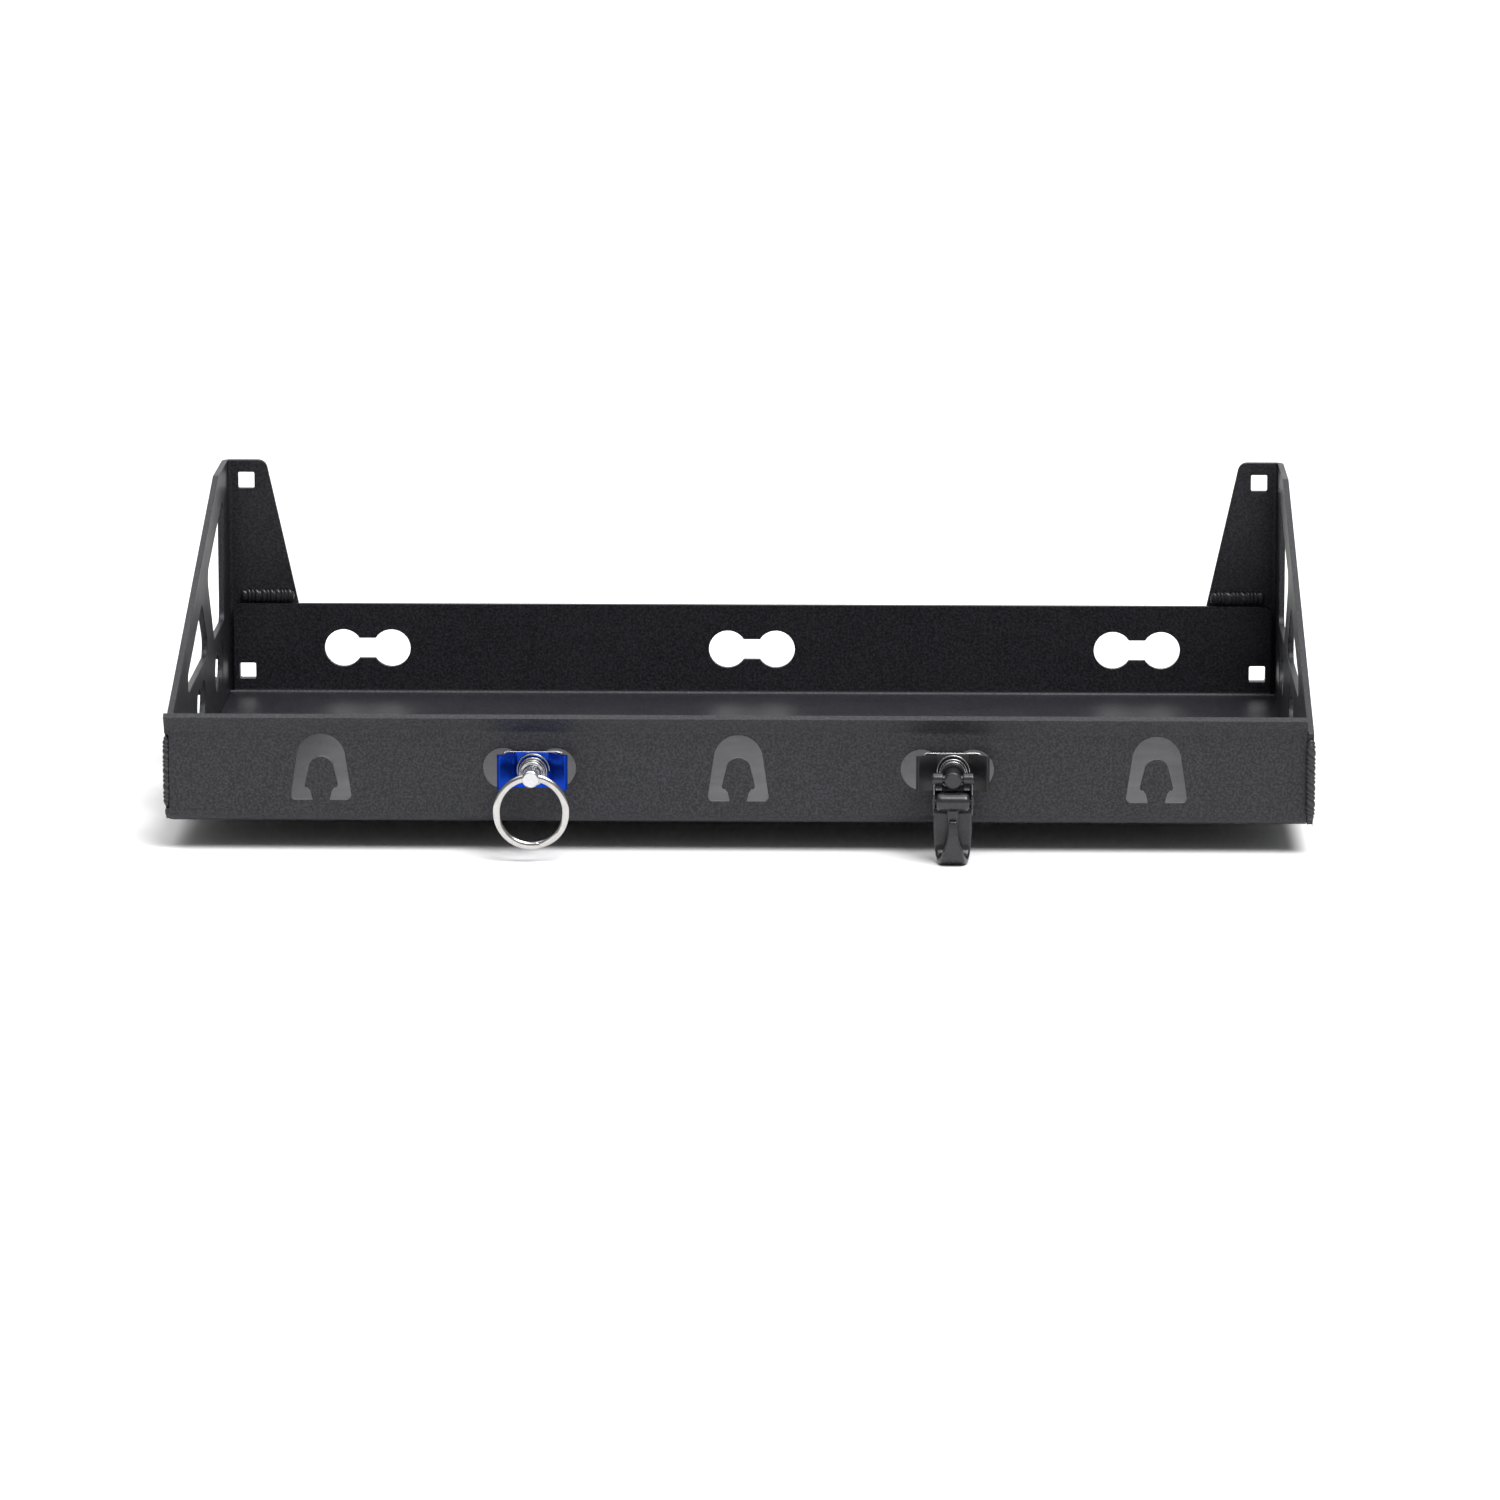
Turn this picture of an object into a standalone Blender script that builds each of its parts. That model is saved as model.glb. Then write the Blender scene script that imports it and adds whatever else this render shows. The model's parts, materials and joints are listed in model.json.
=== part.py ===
"""Bolt-on cargo tray with slotted tie-down track, a ring fitting and a snap-hook fitting.

Run with: blender --background --python part.py
World frame: +X to the tray's right, +Y to the rear (the face that bolts up), +Z up.
Y = 0 is the rear mounting plane and Z = 0 is the underside of the tray's floor.
All sizes below are millimetres; mm() turns them into the scene's metres.
"""
import math

import bmesh
import bpy
from mathutils import Matrix, Vector

# ---- tray ---------------------------------------------------------------------------
SHEET = 3.04                    # 11 gauge steel
GAP = 0.3                       # air left between pieces that touch
WIDTH = 558.8                   # over the side plates' outer faces
PAN_LENGTH = 330.2              # front wall's outer face to back wall's rear face
WALL_HEIGHT = 50.8              # back wall
WALL_CORNER_R = 5.0             # its top corners
NOTCH = 2.2                     # width of the weld's notch at the front wall's left end
CORNER_R = 4.5                  # the front wall's lower left corner
FRONT_HEIGHT = 54.0             # front wall with its lip, to the highest edge
FRONT_FLAT = 39.20              # its flat part, between the floor's fold and the lip's
LIP_ANGLE = 33.0                # the lip leans out of the vertical by this
LIP_LENGTH = 8.0
BEND = 2.2                      # inner radius of the sheet's folds
BACK_Y = -SHEET - GAP           # rear face of the pan's back wall
FRONT_Y = BACK_Y - PAN_LENGTH   # outer face of the front wall
TOWER_HEIGHT = 127.0            # side plates at the rear
TOWER_DEPTH = 57.0              # level top edge of a side plate
NOSE_HEIGHT = 46.0              # side plate where it meets the front wall
FLANGE_TOP = 23.0               # rear flange's width at the top
FLANGE_WIDE = 39.6              # and at the back wall's top edge, and below it
RAIL = 19.0                     # band left along a side plate's sloping edge

# ---- slotted track, tongues and holes -------------------------------------------------
TRACK_Z = 27.1                  # height of every slot's centre
TRACK_PITCH = 25.4              # between the two round holes of one slot
TRACK_R = 10.0
TRACK_NECK = 10.8
BACK_SLOTS = (-203.2, 0.0, 203.2)
FRONT_SLOTS = (-101.6, 101.6)
SIDE_SLOT_PITCH = 101.6
TONGUES = (-203.2, 0.0, 203.2)
TONGUE_Z = 11.0                 # bottom of the cut round a tongue
HOLE_X = 266.7                  # square holes for carriage bolts
HOLE_ZS = (14.7, 116.2)
HOLE_SIDE = 8.5

# ---- fittings: distances "out" are forward of the front wall's outer face ---------------
RING_PLAY, HOOK_PLAY = 1.9, 2.6  # how far right of its slot's centre each fitting sits
RING_X = FRONT_SLOTS[0] + RING_PLAY
HOOK_X = FRONT_SLOTS[1] + HOOK_PLAY
FOOT_R, FOOT_T = 9.4, 3.8
STUD_R = 4.2
STUD_END = 29.0
CROSS_OUT = 24.0                # the ring's hole and the hook's pin
CLIP_OUT, CLIP_R, CLIP_T = 13.8, 6.0, 1.2
LOCK_T = 2.3                    # lock plate in front of the wall
LOCK_DEPTH = 2.4                # its lugs' reach into the slot
LOCK_HALF = 14.5
WEB_HALF = 8.95
SLIDER_T = 2.2
SLIDER_HEIGHT = 17.4
WING_OUT = 12.5                 # how far out the wings' tips stand
RING_WINGS, HOOK_WINGS = 17.3, 17.9
SPRING_WIRE = 1.2
SPRING_TURNS = 3.5
SPRING_WIDE = 8.0               # mean radius of its widest turn
RING_OUTER, RING_INNER = 18.5, 15.1
RING_WIRE = 1.4                 # one turn, measured along the stud
RING_STEP = math.radians(215)   # where the wire steps from one turn to the other
RING_HOLE_R = 2.8
PIN_R = 2.0
EAR_R = 3.15
EAR_IN, EAR_OUT = 4.9, 9.9
CHEEK_OUT = 9.8                 # outer faces of the hook's cheeks
BARREL_AHEAD, BARREL_DOWN = 4.5, 10.2       # gate's pin, from the hook's pin
BARREL_R, BARREL_HALF, BARREL_ROUND = 4.4, 8.35, 2.4
POCKET_R, POCKET_HALF = 3.2, 5.0            # hollow in the barrel for the gate's spring
GATE_PIN_R = 1.5
GATE_WIRE, GATE_COIL_R, GATE_TURNS = 0.7, 2.5, 5

ARC_STEPS = 8                   # segments in a quarter circle or less
COLLECTION = "cargo_tray"


def mm(*values):
    """Millimetres to metres, as one number or a Vector."""
    scaled = [v * 0.001 for v in values]
    return scaled[0] if len(scaled) == 1 else Vector(scaled)


# ---- scene, collections and materials ---------------------------------------------------
for old in list(bpy.data.objects):
    bpy.data.objects.remove(old, do_unlink=True)

parts = bpy.data.collections.new(COLLECTION)
cutters = bpy.data.collections.new("cutters")
bpy.context.scene.collection.children.link(parts)
bpy.context.scene.collection.children.link(cutters)


def finish(name, colour, roughness, metallic):
    """A plain Principled material."""
    mat = bpy.data.materials.new(name)
    mat.use_nodes = True
    bsdf = mat.node_tree.nodes["Principled BSDF"]
    bsdf.inputs["Base Color"].default_value = (*colour, 1.0)
    bsdf.inputs["Roughness"].default_value = roughness
    bsdf.inputs["Metallic"].default_value = metallic
    return mat


POWDER = finish("black_powder_coat", (0.030, 0.031, 0.035), 0.5, 0.0)
BEAD = finish("coated_weld_bead", (0.045, 0.045, 0.050), 0.4, 0.0)
BLUE = finish("blue_anodised", (0.005, 0.045, 0.42), 0.25, 0.9)
BLACK = finish("black_anodised", (0.022, 0.022, 0.026), 0.35, 0.6)
STEEL = finish("plated_steel", (0.62, 0.61, 0.60), 0.22, 1.0)
SPRING = finish("spring_steel", (0.55, 0.54, 0.52), 0.25, 1.0)


# ---- outlines: lists of 2D points -------------------------------------------------------
def arc(cx, cy, radius, start, end, steps=ARC_STEPS):
    """Points on an arc, angles in degrees."""
    angles = [math.radians(start + (end - start) * i / steps) for i in range(steps + 1)]
    return [(cx + radius * math.cos(a), cy + radius * math.sin(a)) for a in angles]


def rounded(corners):
    """A closed outline from (x, y, radius) corners, each rounded by its own radius."""
    points = []
    for i, (x, y, radius) in enumerate(corners):
        here = Vector((x, y))
        if radius <= 0:
            points.append((x, y))
            continue
        back = (Vector(corners[i - 1][:2]) - here).normalized()
        ahead = (Vector(corners[(i + 1) % len(corners)][:2]) - here).normalized()
        half = back.angle(ahead) / 2
        centre = here + (back + ahead).normalized() * radius / math.sin(half)
        first = here + back * radius / math.tan(half) - centre
        last = here + ahead * radius / math.tan(half) - centre
        turn = math.atan2(first.x * last.y - first.y * last.x, first.dot(last))
        start = math.degrees(math.atan2(first.y, first.x))
        points += arc(centre.x, centre.y, radius, start, start + math.degrees(turn))
    return points


def folded(start, heading, steps, thickness):
    """Outline of a folded sheet. A step is a length, or (angle, inner radius) for a fold.

    The sheet runs from start along heading (degrees), with its thickness on the left;
    a positive angle folds it to the left and a negative one to the right.
    """
    pos, left, right = Vector(start), [], []

    def mark():
        side = Vector((-math.sin(heading), math.cos(heading)))
        right.append(tuple(pos))
        left.append(tuple(pos + side * thickness))

    heading = math.radians(heading)
    mark()
    for step in steps:
        if isinstance(step, tuple):
            angle, inner = math.radians(step[0]), step[1]
            radius = inner + (thickness if angle > 0 else 0.0)
            sign = 1 if angle > 0 else -1
            centre = pos + Vector((-math.sin(heading), math.cos(heading))) * radius * sign
            for _ in range(ARC_STEPS):
                heading += angle / ARC_STEPS
                pos = centre + Vector((math.sin(heading), -math.cos(heading))) * radius * sign
                mark()
        else:
            pos = pos + Vector((math.cos(heading), math.sin(heading))) * step
            mark()
    return right + left[::-1]


def track_slot():
    """Two round holes joined by a neck, centred on the origin, along the first axis."""
    half, edge = TRACK_PITCH / 2, math.degrees(math.asin(TRACK_NECK / 2 / TRACK_R))
    steps = 3 * ARC_STEPS
    right = arc(half, 0, TRACK_R, edge - 180, 180 - edge, steps)
    left = arc(-half, 0, TRACK_R, edge, 360 - edge, steps)
    return right + left


def tongue_cut():
    """The horseshoe cut that frees a tongue, from its foot upwards, centred on x = 0."""
    side = [(4.1, 0.0), (4.5, 0.0)]
    side += arc(12.6, 2.2, 2.2, -90, 0, 4)
    side += [(11.65, 23.6)]
    side += arc(0, 20.9, 11.9, 13.0, 90, ARC_STEPS)[1:]
    inner = arc(0, 15.6, 5.9, 90, 20, ARC_STEPS)
    inner += [(7.9, 8.0)] + arc(6.9, 7.2, 1.1, 0, -110, 4) + [(5.2, 4.6)]
    ring = side + [(-x, y) for x, y in side[:-1][::-1]]
    tongue = [(-x, y) for x, y in inner[::-1]] + inner[1:]
    return ring + tongue


# ---- solids ---------------------------------------------------------------------------
# A prism's outline is drawn in one of three planes, and its depth runs along the third axis.
PLANES = {
    "YZ": Matrix(((0, 0, 1), (1, 0, 0), (0, 1, 0))).to_4x4(),    # depth along X
    "XZ": Matrix(((1, 0, 0), (0, 0, -1), (0, 1, 0))).to_4x4(),   # depth along Y
    "XY": Matrix.Identity(4),                                    # depth along Z
}


def as_mesh(name, source):
    """Turn a curve object into a welded mesh object and drop the curve."""
    bpy.context.view_layer.update()
    graph = bpy.context.evaluated_depsgraph_get()
    mesh = bpy.data.meshes.new_from_object(source.evaluated_get(graph))
    bm = bmesh.new()
    bm.from_mesh(mesh)
    bmesh.ops.remove_doubles(bm, verts=bm.verts, dist=1e-6)
    bmesh.ops.recalc_face_normals(bm, faces=bm.faces)
    bm.to_mesh(mesh)
    bm.free()
    bpy.data.objects.remove(source, do_unlink=True)
    return bpy.data.objects.new(name, mesh)


def spline_curve(name, points, closed, dimensions):
    """A curve object with one poly spline through the points."""
    curve = bpy.data.curves.new(name, "CURVE")
    curve.dimensions = dimensions
    spline = curve.splines.new("POLY")
    spline.points.add(len(points) - 1)
    for point, place in zip(spline.points, points):
        point.co = (*mm(*place), 1.0) if len(place) == 3 else (*mm(*place), 0.0, 1.0)
    spline.use_cyclic_u = closed
    item = bpy.data.objects.new(name, curve)
    parts.objects.link(item)
    return item


def prism(name, outline, low, high, plane):
    """An outline filled and drawn out from low to high along the plane's third axis."""
    item = spline_curve(name, outline, True, "2D")
    item.data.fill_mode = "BOTH"
    item.data.extrude = mm((high - low) / 2)
    solid = as_mesh(name, item)
    along = high + low if plane != "XZ" else -(high + low)
    place = PLANES[plane] @ Matrix.Translation((0, 0, mm(along / 2)))
    solid.data.transform(place)
    return solid


def wire(name, points, radius, resolution=2, closed=False, radii=None):
    """A round wire through the points, with filled ends."""
    item = spline_curve(name, points, closed, "3D")
    item.data.bevel_depth = mm(radius)
    item.data.bevel_resolution = resolution
    item.data.use_fill_caps = True
    if radii:
        for point, scale in zip(item.data.splines[0].points, radii):
            point.radius = scale
    return as_mesh(name, item)


def turned(name, profile, steps=28):
    """A round solid about Z from (radius, height) points run down the outside, top first."""
    mesh = bpy.data.meshes.new(name)
    verts = [mm(r, 0, z) for r, z in profile]
    mesh.from_pydata(verts, [(i, i + 1) for i in range(len(verts) - 1)], [])
    item = bpy.data.objects.new(name, mesh)
    parts.objects.link(item)
    screw = item.modifiers.new("turn", "SCREW")
    screw.steps = screw.render_steps = steps
    screw.use_merge_vertices = True
    screw.merge_threshold = 1e-6
    return as_mesh(name, item)


def loft(name, rings):
    """A closed solid through rings of equal point counts, capped at both ends."""
    bm = bmesh.new()
    grid = [[bm.verts.new(mm(*p)) for p in ring] for ring in rings]
    count = len(rings[0])
    for low, high in zip(grid, grid[1:]):
        for i in range(count):
            j = (i + 1) % count
            bm.faces.new((low[i], low[j], high[j], high[i]))
    bm.faces.new(grid[0][::-1])
    bm.faces.new(grid[-1])
    bmesh.ops.recalc_face_normals(bm, faces=bm.faces)
    mesh = bpy.data.meshes.new(name)
    bm.to_mesh(mesh)
    bm.free()
    return bpy.data.objects.new(name, mesh)


def combine(base, others, operation):
    """Apply a Boolean of the other solids to the base, one by one."""
    parts.objects.link(base)
    for other in others:
        other.hide_render = True
        other.display_type = "WIRE"
        cutters.objects.link(other)
        mod = base.modifiers.new(operation.lower(), "BOOLEAN")
        mod.operation = operation
        mod.solver = "EXACT"
        mod.object = other
    name = base.name
    result = as_mesh(name, base)
    for other in others:
        bpy.data.objects.remove(other, do_unlink=True)
    return result


def cut(base, others):
    return combine(base, others, "DIFFERENCE")


def unite(base, others):
    return combine(base, others, "UNION")


def add_part(item, name, material, parent=None, place=None, smooth=None):
    """Name a solid, give it its material and put it in the parts collection."""
    item.name = name
    item.data.name = name
    item.data.materials.clear()
    item.data.materials.append(material)
    parts.objects.link(item)
    if place is not None:
        item.data.transform(place)
    if parent is not None:
        hang(item, parent)
    if smooth:
        item.data.shade_smooth()
        item.data.set_sharp_from_angle(angle=math.radians(smooth))
    return item


def hang(item, parent):
    """Parent an object to an empty without moving it."""
    item.parent = parent
    item.matrix_parent_inverse = Matrix.Translation(-parent.location)


def pivot(name, where, parent=None):
    """An empty on a joint's axis. Its location is always its place in the world."""
    empty = bpy.data.objects.new(name, None)
    empty.empty_display_size = mm(10)
    parts.objects.link(empty)
    empty.location = mm(*where)
    if parent is not None:
        hang(empty, parent)
    return empty


# ---- the pan: lip, front wall, floor and back wall folded from one sheet ------------------
def shifted(outline, dx, dy):
    """An outline moved by dx and dy."""
    return [(x + dx, y + dy) for x, y in outline]


def build_pan():
    """The folded section drawn out over the tray's width, then cut."""
    # The outer face is followed downwards with the sheet on its left.
    steps = [LIP_LENGTH, (-LIP_ANGLE, BEND), FRONT_FLAT, (90, BEND),
             PAN_LENGTH - 2 * (BEND + SHEET), (90, BEND), WALL_HEIGHT - BEND - SHEET]
    section = folded((0, 0), LIP_ANGLE - 90, steps, SHEET)
    section = shifted(section, 0, -min(z for y, z in section))
    section = shifted(section, BACK_Y - max(y for y, z in section), 0)
    half = WIDTH / 2 - SHEET - GAP
    pan = prism("pan", section, -WIDTH / 2, half, "YZ")

    cuts = []
    wall = (BACK_Y - SHEET - 2, BACK_Y + 2)
    front = (FRONT_Y - 2, FRONT_Y + SHEET + 2)
    for x in BACK_SLOTS:
        cuts.append(prism("slot", shifted(track_slot(), x, TRACK_Z), *wall, "XZ"))
    for x in FRONT_SLOTS:
        cuts.append(prism("slot", shifted(track_slot(), x, TRACK_Z), *front, "XZ"))
    for x in TONGUES:
        cuts.append(prism("tongue", shifted(tongue_cut(), x, TONGUE_Z), *front, "XZ"))
    for side in (-1, 1):
        cuts.append(bolt_hole(side, HOLE_ZS[0], *wall))
        # the back wall stops short of the flange's fold, and its top corner is rounded
        corner, r = side * (half - BEND), WALL_CORNER_R
        low, high = sorted((corner, corner + side * 2 * BEND))
        near = wall[0] + 2 - GAP
        relief = [(low, near), (high, near), (high, wall[1]), (low, wall[1])]
        cuts.append(prism("relief", relief, -5, FRONT_HEIGHT, "XY"))
        outline = [(corner + side * r, WALL_HEIGHT - r), (corner + side * r, WALL_HEIGHT + r),
                   (corner - side * r, WALL_HEIGHT + r)]
        outline += arc(corner - side * r, WALL_HEIGHT - r, r, 90, 90 - side * 90)
        cuts.append(prism("corner", outline, *wall, "XZ"))
    # a notch for the weld along the front wall's left end, over a rounded lower corner
    end = -WIDTH / 2
    notch = [(end - 1, 5.5), (end + NOTCH, 6.5), (end + NOTCH, 43), (end - 1, 44)]
    cuts.append(prism("notch", notch, *front, "XZ"))
    cuts.append(end_corner(-1, end, front))
    # the pan's left end runs over the side plate's front edge at the front only
    over = (FRONT_Y + SHEET, BACK_Y + 5)
    trim = [(-WIDTH / 2 - 5, over[0]), (-half, over[0]), (-half, over[1]),
            (-WIDTH / 2 - 5, over[1])]
    cuts.append(prism("trim", trim, -5, FRONT_HEIGHT + 10, "XY"))
    add_part(cut(pan, cuts), "tray_pan", POWDER)


def end_corner(side, end, depth):
    """Cutter that rounds the lower front corner at one end of the tray, over depth along Y."""
    centre = end - side * CORNER_R
    turn = (0, -90) if side > 0 else (180, 270)
    outline = [(centre, -1), (end + side, -1), (end + side, CORNER_R)]
    outline += arc(centre, CORNER_R, CORNER_R, *turn)
    return prism("corner", outline, *depth, "XZ")


def bolt_hole(side, z, low, high):
    """Cutter for one square hole, from low to high along Y."""
    reach = HOLE_SIDE / 2
    x = side * HOLE_X
    outline = rounded([(x - reach, z - reach, 0.8), (x + reach, z - reach, 0.8),
                       (x + reach, z + reach, 0.8), (x - reach, z + reach, 0.8)])
    return prism("bolt_hole", outline, low, high, "XZ")


# ---- side plates: a trussed web with a rear flange folded from it -------------------------
def build_side_plate(name, side, front_gap):
    """One plate; front_gap is how far its front edge stays behind the front wall's face."""
    outer = side * WIDTH / 2
    front = FRONT_Y + front_gap

    def edge_z(y):
        return NOSE_HEIGHT + (TOWER_HEIGHT - NOSE_HEIGHT) * (y - FRONT_Y) / (-TOWER_DEPTH - FRONT_Y)

    # plan section of web and flange, drawn for the left side and mirrored for the right
    steps = [-front - BEND - SHEET, (-90, BEND), FLANGE_WIDE - BEND - SHEET]
    section = folded((-WIDTH / 2, front), 90, steps, SHEET)
    shift = min(x for x, y in section) + WIDTH / 2
    section = [((x - shift) * -side, y) for x, y in section]
    plate = prism(name, section, 0, TOWER_HEIGHT, "XY")

    profile = rounded([(front, 0, 4.5), (1, 0, 0), (1, TOWER_HEIGHT, 0),
                       (-TOWER_DEPTH, TOWER_HEIGHT, 3), (front, edge_z(front), 2)])
    low, high = sorted((outer + side, outer - side * (FLANGE_WIDE + 5)))
    keep_side = prism("keep", profile, low, high, "YZ")
    flange = [(outer + side, -1, 0), (outer - side * FLANGE_WIDE, -1, 0),
              (outer - side * FLANGE_WIDE, WALL_HEIGHT, 4),
              (outer - side * FLANGE_TOP, TOWER_HEIGHT, 5), (outer + side, TOWER_HEIGHT, 0)]
    keep_rear = prism("keep", rounded(flange), FRONT_Y - 5, 5, "XZ")
    plate = combine(plate, [keep_side, keep_rear], "INTERSECT")

    span = (outer - SHEET - 2, outer + SHEET + 2)
    top = RAIL / math.cos(math.atan((TOWER_HEIGHT - NOSE_HEIGHT) / (-TOWER_DEPTH - FRONT_Y)))
    rear_y, floor_z = -33.0, 46.5

    def rail_z(y):
        return edge_z(y) - top

    rear = [(rear_y, floor_z, 6), (rear_y, rail_z(rear_y) - 2, 6),
            (-128.0, rail_z(-128.0), 6), (-92.0, floor_z, 6)]
    ahead = [(-122.0, floor_z - 1, 6), (-159.0, rail_z(-159.0), 6),
             (FRONT_Y + 96, rail_z(FRONT_Y + 96), 4), (FRONT_Y + 96, floor_z - 1, 4)]
    cuts = [prism("window", rounded(rear), *span, "YZ"),
            prism("window", rounded(ahead), *span, "YZ")]
    middle = FRONT_Y + PAN_LENGTH / 2
    for step in (-1, 0, 1):
        place = shifted(track_slot(), middle + step * SIDE_SLOT_PITCH, TRACK_Z)
        cuts.append(prism("slot", place, *span, "YZ"))
    for z in HOLE_ZS:
        cuts.append(bolt_hole(side, z, -SHEET - 2, 2))
    if side > 0:
        # rounded off in front like the pan's left end
        cuts.append(end_corner(1, outer, (front - 1, front + SHEET)))
    add_part(cut(plate, cuts), name, POWDER)


# ---- weld beads -----------------------------------------------------------------------
def bead(name, start, end, radius, depth=1.0):
    """A straight bead of weld with a gently rippled radius, flattened along Y by depth."""
    start, end = Vector(start), Vector(end)
    count = max(3, round((end - start).length / 5.4) + 1)
    points = [tuple(start.lerp(end, i / (count - 1))) for i in range(count)]
    radii = [1.0 if i % 2 else 0.93 for i in range(count)]
    radii[0] = radii[-1] = 0.6
    solid = wire(name, points, radius, 1, radii=radii)
    centre = mm(0, start.y, 0)
    flatten = Matrix.Diagonal((1, depth, 1, 1))
    solid.data.transform(Matrix.Translation(centre) @ flatten @ Matrix.Translation(-centre))
    return solid


def build_welds():
    """Beads behind and in front, and stitches under the floor's edges."""
    for name, side in (("left", -1), ("right", 1)):
        x = side * WIDTH / 2
        # along the back wall's top edge, in the corner against the flange
        rear_y, rear_z = BACK_Y - 1.8, WALL_HEIGHT + GAP + 3.7
        inner = x - side * (FLANGE_WIDE - 2.0)
        outer = x - side * (SHEET + BEND + 4.0)
        add_part(bead("bead", (inner, rear_y, rear_z), (outer, rear_y, rear_z), 3.6, 0.44),
                 "weld_rear_" + name, BEAD, smooth=40)
        # stitches along the seam between the floor and the side plate, underneath
        seam = x - side * (SHEET + GAP / 2)
        for number, y in enumerate((FRONT_Y + 60, FRONT_Y + PAN_LENGTH / 2, BACK_Y - 60), 1):
            stitch = bead("bead", (seam, y - 20, -1.3), (seam, y + 20, -1.3), 1.0)
            add_part(stitch, f"weld_floor_{name}_{number}", BEAD, smooth=40)
    # the front corners: on the left in the notch along the wall's end, on the right over the
    # plate's edge
    left = -WIDTH / 2 + NOTCH - GAP - 1.2
    add_part(bead("bead", (left, FRONT_Y + 1.1, 7.5), (left, FRONT_Y + 1.1, 42), 1.2),
             "weld_front_left", BEAD, smooth=40)
    right = WIDTH / 2 - SHEET / 2
    add_part(bead("bead", (right, FRONT_Y - 1.65, 3.5), (right, FRONT_Y - 1.65, 43), 1.85, 0.7),
             "weld_front_right", BEAD, smooth=40)


# ---- fittings -------------------------------------------------------------------------
# Built at x = 0 with "out" along -Y from the wall's face, then moved to their slot.
def at_slot(x):
    """Moves a piece from the origin to the front slot whose fitting is at x."""
    return Matrix.Translation(mm(x, FRONT_Y, TRACK_Z))


OUTWARD = Matrix.Rotation(math.radians(90), 4, "X")     # turns +Z to -Y


def rod_x(name, radius, half, out, down, sides=20):
    """A round bar along X, centred, at a distance out from the wall and below the slot."""
    profile = [(0, half), (radius, half), (radius, -half), (0, -half)]
    bar = turned(name, profile, sides)
    turn = Matrix.Rotation(math.radians(90), 4, "Y")
    bar.data.transform(Matrix.Translation(mm(0, -out, -down)) @ turn)
    return bar


def build_stud(name, x, material, hole_r):
    """Round foot behind the slot, shank through it, chamfered end with a cross hole."""
    foot = -SHEET - GAP
    profile = [(0, STUD_END), (STUD_R - 0.7, STUD_END), (STUD_R, STUD_END - 0.7),
               (STUD_R, foot), (FOOT_R, foot), (FOOT_R, foot - FOOT_T + 0.8),
               (FOOT_R - 0.8, foot - FOOT_T), (0, foot - FOOT_T)]
    stud = turned(name, profile)
    stud.data.transform(OUTWARD)
    stud = cut(stud, [rod_x("hole", hole_r, 8, CROSS_OUT, 0)])
    add_part(stud, name, material, place=at_slot(x), smooth=35)


def build_clip(name, x, material):
    """Flat ring that holds the spring on the shank."""
    inner = STUD_R + GAP
    profile = [(inner, CLIP_OUT + CLIP_T), (CLIP_R, CLIP_OUT + CLIP_T), (CLIP_R, CLIP_OUT),
               (inner, CLIP_OUT), (inner, CLIP_OUT + CLIP_T)]
    clip = turned(name, profile)
    clip.data.transform(OUTWARD)
    add_part(clip, name, material, place=at_slot(x), smooth=35)


def build_slider(prefix, x, play, wing_half, material, parent):
    """Lock plate whose lugs drop into the slot, and the winged slider that lifts it."""
    shank = STUD_R + GAP
    seat, face = GAP, GAP + LOCK_T

    def bore():
        hole = turned("hole", [(0, 20), (shank, 20), (shank, -20), (0, -20)])
        hole.data.transform(OUTWARD)
        return hole

    plate = prism("plate", rounded([(-LOCK_HALF, -8.8, 3), (LOCK_HALF, -8.8, 3),
                                    (LOCK_HALF, 8.8, 3), (-LOCK_HALF, 8.8, 3)]),
                  -face, -seat, "XZ")
    lugs = []
    lug_r = TRACK_R - play - GAP
    for side in (-1, 1):
        centre = side * TRACK_PITCH / 2
        tall = math.degrees(math.acos((TRACK_PITCH / 2 - 6.4) / lug_r))
        reach = math.degrees(math.acos((LOCK_HALF - 0.3 - TRACK_PITCH / 2) / lug_r))
        if side > 0:
            outline = arc(centre, 0, lug_r, reach, 180 - tall) + arc(
                centre, 0, lug_r, 180 + tall, 360 - reach)
        else:
            outline = arc(centre, 0, lug_r, tall, 180 - reach) + arc(
                centre, 0, lug_r, 180 + reach, 360 - tall)
        lugs.append(prism("lug", outline, -seat - 0.5, LOCK_DEPTH, "XZ"))
    plate = cut(unite(plate, lugs), [bore()])
    add_part(plate, prefix + "_lock_plate", STEEL, parent=parent, place=at_slot(x))

    rear = face + GAP
    lean = math.atan2(WING_OUT - rear - SLIDER_T, wing_half - WEB_HALF)
    turn = math.degrees(lean)
    inner = 1.0
    flat = 2 * (WEB_HALF - 1.4)
    wing = (WING_OUT - rear - SLIDER_T * math.cos(lean)) / math.sin(lean) - 1.2
    section = folded((0, 0), turn, [wing, (-turn, inner), flat, (-turn, inner), wing], SLIDER_T)
    # centre it on the shank, wings pointing away from the wall
    xs, ys = [p[0] for p in section], [p[1] for p in section]
    middle = (min(xs) + max(xs)) / 2
    widen = 2 * wing_half / (max(xs) - min(xs))
    section = [((px - middle) * widen, py - max(ys) - rear) for px, py in section]
    half = SLIDER_HEIGHT / 2
    slider = prism("slider", section, -half, half, "XY")
    slider = cut(slider, [bore()])
    add_part(slider, prefix + "_slider", material, parent=parent, place=at_slot(x))
    return rear + SLIDER_T


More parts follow.
